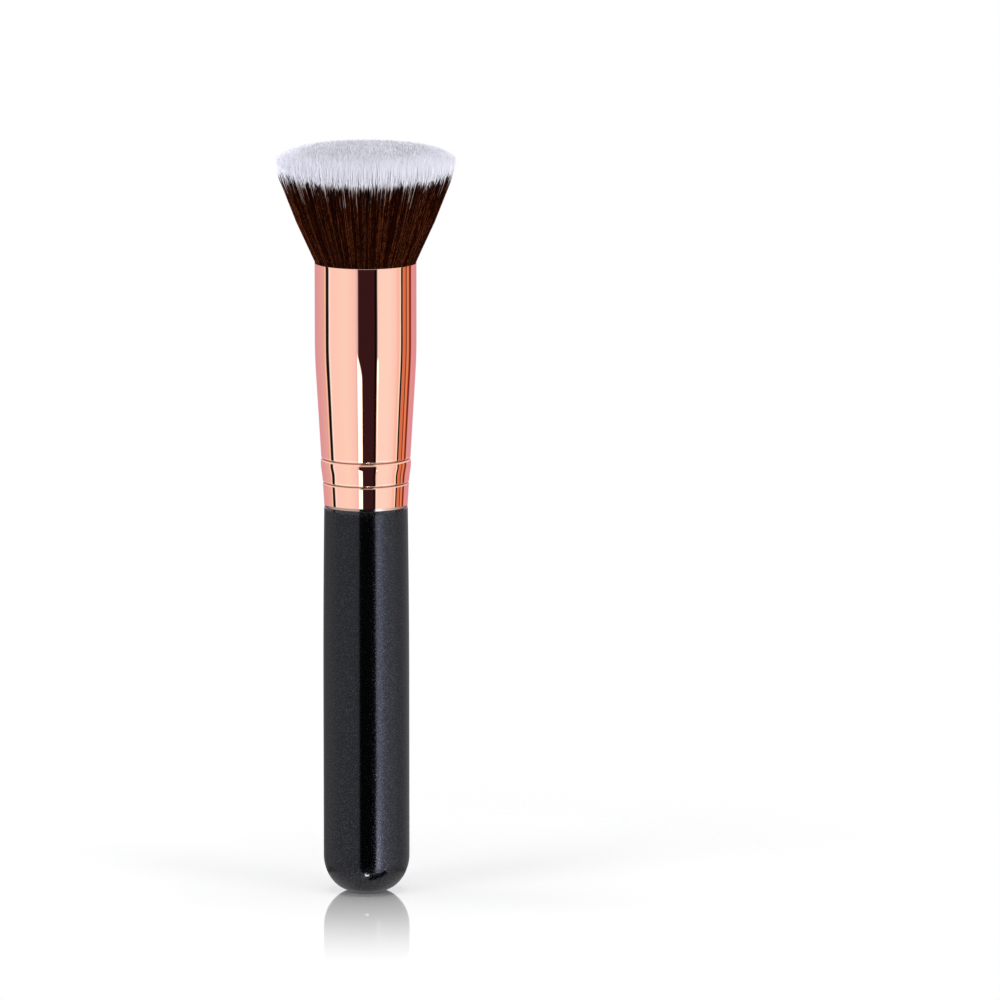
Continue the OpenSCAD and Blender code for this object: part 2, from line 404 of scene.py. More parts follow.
fibreLook = {
    "lightBrown": (0.19, 0.05, 0.018, 1.0),
    "darkBrown": (0.0145, 0.0018, 0.0004, 1.0),
    "contrast": 0.82,
    "streakLength": 36.0,  # of a lighter or darker stretch
    "tip": (0.92, 0.92, 0.995, 1.0),
    "tipShade": (0.4, 0.4, 0.43, 1.0),
    "longTip": (0.36, 0.27, 0.24, 1.0),  # a white end that reaches far down turns brownish
    "longTipFrom": (3.0, 5.0),  # over this distance from the tip
    # a darker band just under the dye line
    "underLineDark": (0.014, 0.012, 0.018, 1.0),
    "dyeEdgeShare": 0.4,
    "dyeEdgeReach": (0.3, 2.0),  # under the dye line
    "dyeBlur": (-0.3, 0.5),  # above and under the dye line
    "whiteLength": 3.5,
    "dipTilt": 0.65,  # the dip reached less far at the front and back than at the sides
    "waviness": 2.2,  # how far the dye line wanders from place to place
    "waveScale": 26.0,
    "longStreak": 4.2,  # how much further the white reaches on a few fibres
    "streakRarity": 12.0,
    "loose": 1.7,  # how far a fibre's own dye line is from its neighbours'
    "grainScale": 44.0,  # the face is lighter and darker in spots
    "grainShare": 0.62,
    "grainEdges": (0.38, 0.62),
    "unevenFrom": 0.3,
    "depth": (0.05, 0.5),  # and painted shade between the tips, so far under them
    "paintedGapShadeShare": 0.16,
    "rimFrom": 0.55,  # from this share of the radius on the painted shade fades
    "rimShade": 0.12,  # to this at the rim
    "roughness": 0.5,
    "gloss": 0.01,
}


def readAttribute(tree, name):
    return put(tree, "ShaderNodeAttribute", attribute_name=name).outputs


def makeFibre():
    material, tree, shader = newFinish("dyedFibre")
    look = fibreLook
    fromTip = readAttribute(tree, "fromTip")["Fac"]
    shade = readAttribute(tree, "shade")["Fac"]
    place = readAttribute(tree, "rootPlace")["Vector"]
    wander = noise(tree, place, look["waveScale"], 3.0, 0.65)["Fac"]
    few = times(tree, calc(tree, "POWER", shade, look["streakRarity"]), look["longStreak"] * mm)
    own = minus(tree, shade, 0.5)
    few = mulAdd(tree, own, look["loose"] * mm, few)
    wavy = times(tree, minus(tree, wander, 0.5), 2 * look["waviness"] * mm)
    spot = axes(tree, place)
    squares = [calc(tree, "POWER", spot[axis], 2.0) for axis in "XY"]
    dip = times(tree, minus(tree, squares[1], squares[0]), look["dipTilt"] * mm)
    line = addUp(tree, few, wavy, dip, look["whiteLength"] * mm)
    past = minus(tree, fromTip, line)
    dyed = remap(tree, past, *inMetres(look["dyeBlur"]))
    edge = times(tree, dyed, remap(tree, past, *inMetres(look["dyeEdgeReach"]), 1.0, 0.0))
    along = mulAdd(tree, fromTip, 1 / (look["streakLength"] * mm), shade)
    browns = useGroup(tree, fibreTones, {
        "Across": vectorCalc(tree, "ADD", place, vectorOf(tree, z=along)),
        "Own Shade": shade,
        "Light Strand": look["lightBrown"],
        "Dark Strand": look["darkBrown"],
        "Contrast": look["contrast"],
    })
    # Painted shade: tips on the face stand apart, so they are darkened for the shade between them;
    # those round the rim are seen from the side and painted lighter
    inner = remap(tree, lengthOf(tree, place), look["rimFrom"], 1.0, 1.0, look["rimShade"])
    deep = remap(tree, fromTip, *inMetres(look["depth"]))
    grain = noise(tree, place, look["grainScale"], 2.0, 0.7)["Fac"]
    grain = minus(tree, remap(tree, grain, *look["grainEdges"]), 0.5)
    toneAndShade = minus(tree, 1.0, shade)
    toneAndShade = mulAdd(tree, grain, look["grainShare"], toneAndShade)
    # painted shade deeper between the tips
    toneAndShade = mulAdd(tree, deep, look["paintedGapShadeShare"], toneAndShade)
    shaded = times(tree, remap(tree, toneAndShade, look["unevenFrom"], 1.0), inner)
    whites = blend(tree, shaded, look["tip"], look["tipShade"])
    longEnd = remap(tree, fromTip, *inMetres(look["longTipFrom"]))
    whites = blend(tree, longEnd, whites, look["longTip"])
    edge = times(tree, edge, look["dyeEdgeShare"])
    feed(tree, shader, {
        "Base Color": blend(tree, dyed, whites, blend(tree, edge, browns["Color"], look["underLineDark"])),
        "Roughness": look["roughness"],
        "Specular IOR Level": look["gloss"],
    })
    return material


rootLook = {
    "grain": (110.0, 110.0, 4.0),
    "contrast": 0.8,
    "roughness": (0.6, 0.42),  # of the dark and the light strands
    "bump": 0.08,
}


def makePackedRoots():
    material, tree, shader = newFinish("packedRoots")
    look = rootLook
    browns = useGroup(tree, fibreTones, {
        "Across": stretched(tree, objectPlace(tree), look["grain"]),
        "Own Shade": 0.5,
        "Light Strand": fibreLook["lightBrown"],
        "Dark Strand": fibreLook["darkBrown"],
        "Contrast": look["contrast"],
    })
    feed(tree, shader, {
        "Base Color": browns["Color"],
        "Roughness": remap(tree, browns["Mask"], 0.0, 1.0, *look["roughness"]),
        "Normal": bump(tree, browns["Mask"], 0.6, look["bump"] * mm),
    })
    return material


epoxyLook = {
    "glue": {
        "light": (0.62, 0.47, 0.24, 1.0),
        "deep": (0.36, 0.22, 0.08, 1.0),
        "bubbles": 0.4,
        "bump": 0.05,
    },
    "resin": {
        "light": (0.66, 0.53, 0.3, 1.0),
        "deep": (0.4, 0.27, 0.11, 1.0),
        "bubbles": 0.9,
        "bump": 0.05,
    },
}


def makeEpoxy(name, look):
    material, tree, shader = newFinish(name)
    cloud = useGroup(tree, epoxyCloud, {
        "Where": objectPlace(tree),
        "Light Tone": look["light"],
        "Deep Tone": look["deep"],
        "Bubbles": look["bubbles"],
    })
    feed(tree, shader, {
        "Base Color": cloud["Color"],
        "Roughness": cloud["Roughness"],
        "Normal": bump(tree, cloud["Height"], 0.5, look["bump"] * mm),
    })
    return material


threadLook = {
    "yarn": (0.8, 0.77, 0.68, 1.0),
    "shadow": (0.45, 0.41, 0.33, 1.0),
    "plies": 2600.0 / 6,
    "fuzz": 1.5,
    "roughness": (0.7, 0.45),  # in the shadow and on the yarn
    "bump": 0.04,
}


def makeThread():
    material, tree, shader = newFinish("waxedThread")
    look = threadLook
    values = {"Vector": objectPlace(tree), "Scale": look["plies"], "Distortion": look["fuzz"]}
    ply = put(tree, "ShaderNodeTexWave", values, bands_direction="DIAGONAL").outputs["Fac"]
    feed(tree, shader, {
        "Base Color": blend(tree, ply, look["shadow"], look["yarn"]),
        "Roughness": remap(tree, ply, 0.0, 1.0, *look["roughness"]),
        "Normal": bump(tree, ply, 0.7, look["bump"] * mm),
    })
    return material


# Geometry node trees

def newForm(name, floats, wholes):
    takes = {**dict.fromkeys(floats, "Float"), **dict.fromkeys(wholes, "Int"), "Finish": "Material"}
    return newTree(name, "GeometryNodeTree", takes, {"Geometry": "Geometry"})


def closeForm(tree, geometry, material, leave):
    smooth = put(tree, "GeometryNodeSetShadeSmooth", {"Geometry": geometry}).outputs[0]
    real = put(tree, "GeometryNodeRealizeInstances", {"Geometry": smooth}).outputs[0]
    painted = put(tree, "GeometryNodeSetMaterial", {"Geometry": real, "Material": material})
    feed(tree, leave, {0: painted.outputs[0]})


def switchByIndex(tree, index, values):
    node = put(tree, "GeometryNodeIndexSwitch", data_type="FLOAT")
    while len(node.index_switch_items) < len(values):
        node.index_switch_items.new()
    feed(tree, node, {"Index": index})
    for number, value in enumerate(values):
        feed(tree, node, {number + 1: value})
    return node.outputs[0]


def addObject(name, data):
    thing = bpy.data.objects.new(name, data)
    bpy.context.scene.collection.objects.link(thing)
    return thing


def applyModifiers(piece):
    graph = bpy.context.evaluated_depsgraph_get()
    mesh = bpy.data.meshes.new_from_object(piece.evaluated_get(graph))
    piece.modifiers.clear()
    piece.data = mesh


def shapeFromForm(name, tree, values, material):
    piece = addObject(name, bpy.data.meshes.new(name + "Empty"))
    form = piece.modifiers.new("form", "NODES")
    form.node_group = tree
    items = tree.interface.items_tree
    sockets = {item.name: item.identifier for item in items if item.in_out == "INPUT"}
    for label, value in values.items():
        form[sockets[label]] = value
    form[sockets["Finish"]] = material
    applyModifiers(piece)
    piece.data.name = name
    return piece


# Ferrule: one drawn tube, tapered, with two rolled crimps and a swell between them

ferruleForm = {
    "mouthRadius": 10.0,
    "footRadius": 8.2,
    "taperLength": 29.7,
    "kneeBlend": 0.33,
    "crimpLow": 4.7,
    "crimpGap": 4.7,
    "crimpWidth": 0.56,
    "crimpDepth": 0.2,
    "swell": 0.18,
    "crimpedLength": 10.8,  # the lower stretch, which gets half of the rows
    "wall": 0.5,
    "lip": 0.2,
    "around": 160,
    "along": 220,
}
crimpHeights = (ferruleForm["crimpLow"], ferruleForm["crimpLow"] + ferruleForm["crimpGap"])
ferruleLengths = [
    "Mouth Radius", "Foot Radius", "Taper Length", "Knee Blend", "Crimp Low", "Crimp Gap",
    "Crimp Width", "Crimp Depth", "Swell", "Crimped Length",
]


def valuesFor(form, labels, unit=1):
    # The input "Taper Length" takes the dictionary's "taperLength"
    keys = {label: label[0].lower() + label[1:].replace(" ", "") for label in labels}
    return {label: form[key] * unit for label, key in keys.items()}


def buildFerruleTree():
    floats = ["Length", "Foot Height", *ferruleLengths]
    tree, given, leave = newForm("ferruleForm", floats, ["Around", "Along"])
    sheet = put(tree, "GeometryNodeMeshGrid", {
        "Size X": 1.0,
        "Size Y": 1.0,
        "Vertices X": addUp(tree, given["Around"], 1.0),
        "Vertices Y": given["Along"],
    })
    place = axes(tree, put(tree, "GeometryNodeInputPosition").outputs[0])
    turn = times(tree, place["X"], 2 * math.pi)
    # The lower half of the rows goes to the crimps, the upper half to the rest of the tube
    run = mulAdd(tree, place["Y"], 2.0, 1.0)
    low = times(tree, calc(tree, "MINIMUM", run, 1.0), given["Crimped Length"])
    rest = minus(tree, given["Length"], given["Crimped Length"])
    high = times(tree, calc(tree, "MAXIMUM", minus(tree, run, 1.0), 0.0), rest)
    height = addUp(tree, low, high)
    widening = minus(tree, given["Mouth Radius"], given["Foot Radius"])
    slope = calc(tree, "DIVIDE", widening, given["Taper Length"])
    cone = mulAdd(tree, height, slope, given["Foot Radius"])
    radius = calc(tree, "SMOOTH_MIN", cone, given["Mouth Radius"], given["Knee Blend"])
    half = times(tree, given["Crimp Width"], 0.5)
    for middle in (given["Crimp Low"], addUp(tree, given["Crimp Low"], given["Crimp Gap"])):
        off = calc(tree, "ABSOLUTE", minus(tree, height, middle))
        groove = remap(tree, off, 0.0, half, given["Crimp Depth"], 0.0)
        radius = minus(tree, radius, groove)
    share = minus(tree, height, given["Crimp Low"])
    share = calc(tree, "DIVIDE", share, given["Crimp Gap"])
    share = remap(tree, share, 0.0, 1.0, 0.0, 1.0, "LINEAR")
    wave = calc(tree, "SINE", times(tree, share, share, math.pi))
    radius = mulAdd(tree, wave, given["Swell"], radius)
    ring = vectorOf(
        tree,
        times(tree, calc(tree, "COSINE", turn), radius),
        times(tree, calc(tree, "SINE", turn), radius),
        addUp(tree, height, given["Foot Height"]),
    )
    tube = put(tree, "GeometryNodeSetPosition", {"Geometry": sheet.outputs["Mesh"], "Position": ring})
    closed = put(tree, "GeometryNodeMergeByDistance", {"Geometry": tube.outputs[0], "Distance": 1e-6})
    closeForm(tree, closed.outputs[0], given["Finish"], leave)
    return tree


def faceOut(mesh):
    shape = bmesh.new()
    shape.from_mesh(mesh)
    bmesh.ops.remove_doubles(shape, verts=shape.verts, dist=1e-7)
    bmesh.ops.recalc_face_normals(shape, faces=shape.faces)
    shape.to_mesh(mesh)
    shape.free()


def makeFerrule():
    form = ferruleForm
    values = {
        "Length": mouthZ - footZ,
        "Foot Height": footZ,
        "Around": form["around"],
        "Along": form["along"],
        **valuesFor(form, ferruleLengths, mm),
    }
    piece = shapeFromForm("ferruleTube", buildFerruleTree(), values, roseGold)
    faceOut(piece.data)
    outward = piece.data.polygons[0]
    if outward.normal.dot(Vector((outward.center.x, outward.center.y, 0))) < 0:
        piece.data.flip_normals()
    wall = piece.modifiers.new("wall", "SOLIDIFY")
    wall.thickness = form["wall"] * mm
    wall.offset = -1
    wall.use_even_offset = True
    lip = piece.modifiers.new("lip", "BEVEL")
    lip.width = form["lip"] * mm
    lip.segments = 3
    lip.limit_method = "ANGLE"
    lip.angle_limit = math.radians(60)
    applyModifiers(piece)
    piece.data.shade_smooth()
    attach(piece, "root")
    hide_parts("ferrule")


# Turned pieces: a profile of (radius, height) points in millimetres, spun about the axis

def spun(name, profile, around, material):
    shape = bmesh.new()
    rings = []
    for radius, height in profile:
        if radius < 1e-6:
            rings.append([shape.verts.new((0.0, 0.0, height * mm))])
            continue
        turns = [2 * math.pi * step / around for step in range(around)]
        rings.append([
            shape.verts.new((radius * mm * math.cos(turn), radius * mm * math.sin(turn), height * mm))
            for turn in turns
        ])
    for lower, upper in zip(rings, rings[1:]):
        for step in range(around):
            after = (step + 1) % around
            corners = [lower[step % len(lower)], lower[after % len(lower)]]
            corners += [upper[after % len(upper)], upper[step % len(upper)]]
            shape.faces.new(list(dict.fromkeys(corners)))
    bmesh.ops.recalc_face_normals(shape, faces=shape.faces)
    mesh = bpy.data.meshes.new(name)
    shape.to_mesh(mesh)
    shape.free()
    mesh.shade_smooth()
    mesh.materials.append(material)
    return addObject(name, mesh)


def steps(low, high, count):
    return [low + (high - low) * step / count for step in range(count + 1)]


def sharpen(piece, degrees):
    edges = bmesh.new()
    edges.from_mesh(piece.data)
    for edge in edges.edges:
        if len(edge.link_faces) == 2 and edge.calc_face_angle() > math.radians(degrees):
            edge.smooth = False
    edges.to_mesh(piece.data)
    edges.free()


# Handle: straight barrel, rounded butt, short neck, and the grooved tenon in the ferrule

handleForm = {
    "barrelRadius": 8.45,
    "buttFlatRadius": 2.5,
    "buttHeight": 7.2,
    "neckLength": 35.0,
    "shoulderRound": 0.2,
    "tenonRadius": 7.5,
    "tenonLength": 14.0,
    "tenonChamfer": 0.8,
    "grooveDepth": 0.4,
    "grooveWidth": 0.98,
    "around": 160,
    "rows": {"butt": 32, "barrel": 12, "neck": 20, "shoulder": 4, "tenon": 60},
}


def tenonRadiusAt(height):
    radius = handleForm["tenonRadius"]
    for middle in crimpHeights:
        off = abs(height - middle) / (handleForm["grooveWidth"] / 2)
        if off < 1:
            radius -= handleForm["grooveDepth"] * (1 + math.cos(math.pi * off)) / 2
    return radius


def makeHandle():
    form = handleForm
    rows = form["rows"]
    foot = footZ / mm
    neckLow = foot - form["neckLength"]
    narrow = form["barrelRadius"] - ferruleForm["footRadius"]
    corner = form["shoulderRound"]
    profile = [(0.0, 0.0)]
    for turn in steps(0, math.pi / 2, rows["butt"]):
        reach = form["barrelRadius"] - form["buttFlatRadius"]
        radius = form["buttFlatRadius"] + reach * math.sin(turn)
        profile.append((radius, form["buttHeight"] * (1 - math.cos(turn))))
    for height in steps(form["buttHeight"], neckLow, rows["barrel"])[1:]:
        profile.append((form["barrelRadius"], height))
    for share in steps(0, 1, rows["neck"])[1:]:
        radius = form["barrelRadius"] - narrow * share ** 2
        profile.append((radius, neckLow + share * (form["neckLength"] - corner)))
    for turn in steps(0, math.pi / 2, rows["shoulder"])[1:]:
        radius = ferruleForm["footRadius"] - corner * (1 - math.cos(turn))
        profile.append((radius, foot - corner * (1 - math.sin(turn))))
    straight = form["tenonLength"] - form["tenonChamfer"]
    for height in steps(0, straight, rows["tenon"]):
        profile.append((tenonRadiusAt(height), foot + height))
    end = foot + form["tenonLength"]
    profile += [(form["tenonRadius"] - form["tenonChamfer"], end), (0.0, end)]
    piece = spun("handleTurning", profile, form["around"], pearlLacquer)
    sharpen(piece, 35)
    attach(piece, "root")
    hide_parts("handle")


# Tuft: fine fibres in seven meshes from the core to the rim, and the turned roots under them

tuftForm = {
    "fibres": 42000,
    "quickFibres": 14000,
    "bands": [
        "tuftCore", "tuftHeart", "tuftInner", "tuftMiddle", "tuftOuter", "tuftSide", "tuftSkin",
    ],
    "mouthRadius": 9.3,
    "lipRadius": 9.98,
    "shoulderRadius": 16.75,
    "rimRadius": 17.6,
    "rimHeight": 20.8,
    "domeHeight": 2.35,
    "domePower": 6.0,
    "rootDepth": 1.3,
    "levels": [0.018, 0.4, 0.8, 0.92, 1.0],  # height of a fibre's points above its root
    "halfway": 0.525,  # of the flare, at the second of them
    "crown": 0.9,  # of the way from shoulder to rim, at the fourth
    "thickness": 0.062,  # radius of a fibre
    "quickThickness": 0.1,
    "tapers": [0.75, 0.85, 1.0, 1.0, 0.8, 0.25],
    "loosened": 0.8,  # how far a root strays, as a share of the spacing
    "ragged": 0.7,
    "raggedOwn": 0.55,  # share of a fibre itself in that,
    "raggedClump": 0.45,  # and of its clump
    "stray": 0.28,
    "clump": 0.3,
    "clumpSize": 0.42,
    "lean": 0.5,
    "leanScale": 5.0,
    "bendPower": 1.6,  # most of the lean is near the tips
    "sway": 0.4,
    "seed": 4,
}
tuftLengths = [
    "Mouth Radius", "Lip Radius", "Shoulder Radius", "Rim Radius", "Rim Height", "Dome Height",
    "Root Depth", "Ragged", "Stray", "Clump Size", "Lean", "Sway",
]


def buildTuftTree():
    form = tuftForm
    floats = ["Mouth Height", "Thickness", "Dome Power", "Clump", *tuftLengths]
    tree, given, leave = newForm("tuftForm", floats, ["Count", "First", "Total", "Seed"])
    # One straight six-point curve for each fibre, shaped by its number afterwards
    points = put(tree, "GeometryNodeMeshLine", {"Count": given["Count"]}).outputs[0]
    line = put(tree, "GeometryNodeCurvePrimitiveLine").outputs[0]
    count = len(form["levels"]) + 1
    fibre = put(tree, "GeometryNodeResampleCurve", {"Curve": line, "Count": count}).outputs[0]
    laid = put(tree, "GeometryNodeInstanceOnPoints", {"Points": points, "Instance": fibre})
    curves = put(tree, "GeometryNodeRealizeInstances", {"Geometry": laid.outputs[0]})
    index = put(tree, "GeometryNodeInputIndex").outputs[0]
    order = put(tree, "GeometryNodeFieldOnDomain", {"Value": index}, domain="CURVE", data_type="INT")
    number = addUp(tree, order.outputs[0], given["First"])
    level = put(tree, "GeometryNodeSplineParameter").outputs["Index"]

    def randomly(low, high, offset):
        seed = addUp(tree, given["Seed"], float(offset))
        node = put(tree, "FunctionNodeRandomValue", data_type="FLOAT")
        feed(tree, node, {2: low, 3: high, "ID": number, "Seed": seed})
        return node.outputs[1]

    def wobble(offset):  # sideways, at the two points between the lip and the crown
        shifts = [randomly(-1.0, 1.0, offset), randomly(-1.0, 1.0, offset + 1)]
        return switchByIndex(tree, level, [0.0, 0.0, *shifts, 0.0, 0.0])

    # Places fill the round bundle evenly, loosened so that no spiral shows
    spacing = calc(tree, "DIVIDE", 1.0, calc(tree, "SQRT", given["Total"]))
    share = calc(tree, "DIVIDE", addUp(tree, number, 0.5), given["Total"])
    far = calc(tree, "SQRT", share)
    turn = times(tree, number, math.pi * (3 - math.sqrt(5)))
    loose = form["loosened"]
    shiftX = times(tree, randomly(-loose, loose, 1), spacing)
    shiftY = times(tree, randomly(-loose, loose, 2), spacing)
    acrossX = mulAdd(tree, calc(tree, "COSINE", turn), far, shiftX)
    acrossY = mulAdd(tree, calc(tree, "SINE", turn), far, shiftY)
    across = vectorOf(tree, acrossX, acrossY)
    rho = calc(tree, "MINIMUM", lengthOf(tree, across), 1.0)

    # Length of each fibre follows the domed face
    dome = minus(tree, 1.0, calc(tree, "POWER", rho, given["Dome Power"]))
    reach = mulAdd(tree, dome, given["Dome Height"], given["Rim Height"])
    onFace = scaled(tree, across, given["Rim Radius"])
    values = {"Vector": onFace, "Scale": calc(tree, "DIVIDE", 1.0, given["Clump Size"])}
    cell = put(tree, "ShaderNodeTexVoronoi", values, voronoi_dimensions="2D").outputs
    ofClump = times(tree, axes(tree, cell["Color"])["X"], form["raggedClump"])
    short = mulAdd(tree, randomly(0.0, 1.0, 3), form["raggedOwn"], ofClump)
    reach = minus(tree, reach, times(tree, short, given["Ragged"]))
    below = calc(tree, "DIVIDE", times(tree, given["Root Depth"], -1.0), given["Rim Height"])
    rise = switchByIndex(tree, level, [below, *form["levels"]])
    flare = minus(tree, given["Shoulder Radius"], given["Lip Radius"])
    half = mulAdd(tree, flare, form["halfway"], given["Lip Radius"])
    rimmed = minus(tree, given["Rim Radius"], given["Shoulder Radius"])
    crown = mulAdd(tree, rimmed, form["crown"], given["Shoulder Radius"])
    spread = switchByIndex(tree, level, [
        given["Mouth Radius"], given["Lip Radius"], half, given["Shoulder Radius"], crown,
        given["Rim Radius"],
    ])

    # Tips lean a little with their neighbours and gather in small clumps
    pull = scaled(tree, vectorCalc(tree, "SUBTRACT", cell["Position"], onFace), given["Clump"])
    drift = noise(tree, across, form["leanScale"], 3.0, 0.6)["Color"]
    drift = scaled(tree, vectorCalc(tree, "SUBTRACT", drift, (0.5, 0.5, 0.5)), given["Lean"])
    strayX = times(tree, randomly(-1.0, 1.0, 4), given["Stray"])
    strayY = times(tree, randomly(-1.0, 1.0, 5), given["Stray"])
    offset = vectorCalc(tree, "ADD", pull, drift)
    offset = vectorCalc(tree, "ADD", offset, vectorOf(tree, strayX, strayY))
    bend = calc(tree, "POWER", calc(tree, "MAXIMUM", rise, 0.0), form["bendPower"])
    sway = scaled(tree, vectorOf(tree, wobble(7), wobble(9)), given["Sway"])
    offset = vectorCalc(tree, "ADD", scaled(tree, offset, bend), sway)
    flat = axes(tree, vectorCalc(tree, "ADD", scaled(tree, across, spread), offset))
    # A fibre that leans out past the rim is drawn back to it
    out = calc(tree, "SQRT", addUp(tree, *[calc(tree, "POWER", flat[axis], 2.0) for axis in "XY"]))
    keep = calc(tree, "MINIMUM", out, spread)
    keep = calc(tree, "DIVIDE", keep, calc(tree, "MAXIMUM", out, 1e-6))
    height = addUp(tree, times(tree, rise, reach), given["Mouth Height"])
    place = vectorOf(tree, times(tree, flat["X"], keep), times(tree, flat["Y"], keep), height)
    shaped = put(tree, "GeometryNodeSetPosition", {"Geometry": curves.outputs[0], "Position": place})

    # What the finish reads: distance to the tip, own shade, place in the bundle
    kept = shaped.outputs[0]
    for label, value, kind in (
        ("fromTip", times(tree, minus(tree, 1.0, rise), reach), "FLOAT"),
        ("shade", randomly(0.0, 1.0, 6), "FLOAT"),
        ("rootPlace", across, "FLOAT_VECTOR"),
    ):
        store = put(tree, "GeometryNodeStoreNamedAttribute", data_type=kind, domain="POINT")
        feed(tree, store, {"Geometry": kept, "Name": label, "Value": value})
        kept = store.outputs[0]
    section = put(tree, "GeometryNodeCurvePrimitiveCircle", {"Resolution": 3, "Radius": 1.0})
    solid = put(tree, "GeometryNodeCurveToMesh", {
        "Curve": kept,
        "Profile Curve": section.outputs[0],
        "Scale": times(tree, switchByIndex(tree, level, form["tapers"]), given["Thickness"]),
        "Fill Caps": True,
    })
    closeForm(tree, solid.outputs[0], given["Finish"], leave)
    return tree


def makeTuft():
    form = tuftForm
    total, thickness = form["fibres"], form["thickness"]
    tree = buildTuftTree()
    count = total // len(form["bands"])
    for number, name in enumerate(form["bands"]):
        values = {
            "Mouth Height": mouthZ,
            "Thickness": thickness * mm,
            "Count": count,
            "First": count * number,
            "Total": total,
            **valuesFor(form, tuftLengths, mm),
            **valuesFor(form, ["Dome Power", "Clump", "Seed"]),
        }
        piece = shapeFromForm(name, tree, values, dyedFibre)
        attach(piece, "root")
        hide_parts("bristles")
        print(name, len(piece.data.polygons), "faces")


rootForm = {
    "topDepth": 0.7,
    "topRadius": 9.36,
    "waistDepth": 7.0,
    "waistLength": 4.3,
    "waistRadius": 8.48,
    "endDepth": 15.0,
    "endRadius": 8.93,
    "around": 128,
}


def makeRoots():
    form = rootForm
    depths = [
        (0.0, form["topDepth"]),
        (form["topRadius"], form["topDepth"]),
        (form["waistRadius"], form["waistDepth"]),
        (form["waistRadius"], form["waistDepth"] + form["waistLength"]),
        (form["endRadius"], form["endDepth"]),
        (0.0, form["endDepth"]),
    ]
    profile = [(radius, mouthZ / mm - depth) for radius, depth in depths]
    piece = spun("tuftRoots", profile, form["around"], packedRoots)
    sharpen(piece, 20)
    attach(piece, "root")
    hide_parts("bristles")


def paintNode(node, material):
    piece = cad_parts[node]
    piece.data.materials.clear()
    piece.data.materials.append(material)


roseGold = makeRoseGold()
pearlLacquer = makeLacquer()
dyedFibre = makeFibre()
packedRoots = makePackedRoots()
setGlue = makeEpoxy("setGlue", epoxyLook["glue"])
castResin = makeEpoxy("castResin", epoxyLook["resin"])
waxedThread = makeThread()
print("finishes made")
makeFerrule()
makeHandle()
makeRoots()
makeTuft()
for node, finish in (("tenon_glue", setGlue), ("root_resin", castResin), ("root_thread", waxedThread)):
    paintNode(node, finish)
print("pieces made")


# Floor: a white sheet that shows the shadow and a short mirror image of the butt end

floorLook = {
    "radius": 300.0,
    "fadeFrom": 24.0,
    "fadeTo": 140.0,
    "lift": 0.06,  # brings the lit sheet up to white for the camera alone
    "white": (0.56, 0.56, 0.562, 1.0),
    "mirror": 0.72,
    "mirrorReach": 78.0,
    "mirrorSlant": (0.15, 0.84),  # none seen from above, all of it seen along the sheet
    "drop": 0.01,  # under the butt
}


def makeFloor():
    look = floorLook
    material, tree, shader = newFinish("whiteSheet")
    away = lengthOf(tree, stretched(tree, objectPlace(tree), (1.0, 1.0, 0.0)))
    seen = put(tree, "ShaderNodeLightPath").outputs["Is Camera Ray"]
    feed(tree, shader, {
        "Base Color": look["white"],
        "Roughness": 0.9,
        "Specular IOR Level": 0.0,
        "Emission Color": white,
        "Emission Strength": times(tree, seen, look["lift"]),
    })
    mirror = put(tree, "ShaderNodeBsdfGlossy", {"Color": white, "Roughness": 0.0})
    near = remap(tree, away, 0.0, look["mirrorReach"] * mm, look["mirror"], 0.0, "LINEAR")
    facing = put(tree, "ShaderNodeLayerWeight", {"Blend": 0.5}).outputs["Facing"]
    near = times(tree, near, remap(tree, facing, *look["mirrorSlant"], 0.0, 1.0, "LINEAR"))
    surface = put(tree, "ShaderNodeMixShader", {0: near, 1: shader.outputs[0], 2: mirror.outputs[0]})
    clear = put(tree, "ShaderNodeBsdfTransparent")
    fade = remap(tree, away, look["fadeFrom"] * mm, look["fadeTo"] * mm)
    fade = calc(tree, "MAXIMUM", fade, put(tree, "ShaderNodeNewGeometry").outputs["Backfacing"])
    mixed = put(tree, "ShaderNodeMixShader", {0: fade, 1: surface.outputs[0], 2: clear.outputs[0]})
    feed(tree, tree.nodes["Material Output"], {"Surface": mixed.outputs[0]})
    shape = bmesh.new()
    bmesh.ops.create_circle(shape, cap_ends=True, segments=96, radius=look["radius"] * mm)
    mesh = bpy.data.meshes.new("studioFloor")
    shape.to_mesh(mesh)
    shape.free()
    mesh.materials.append(material)
    floor = addObject("studioFloor", mesh)
    floor.location.z = -look["drop"] * mm
    floor.visible_glossy = False


# Studio: the cards and softboxes that the polished pieces mirror. Each starts at an azimuth
# from the camera, negative to its left, and fades in from the one before over so many degrees.

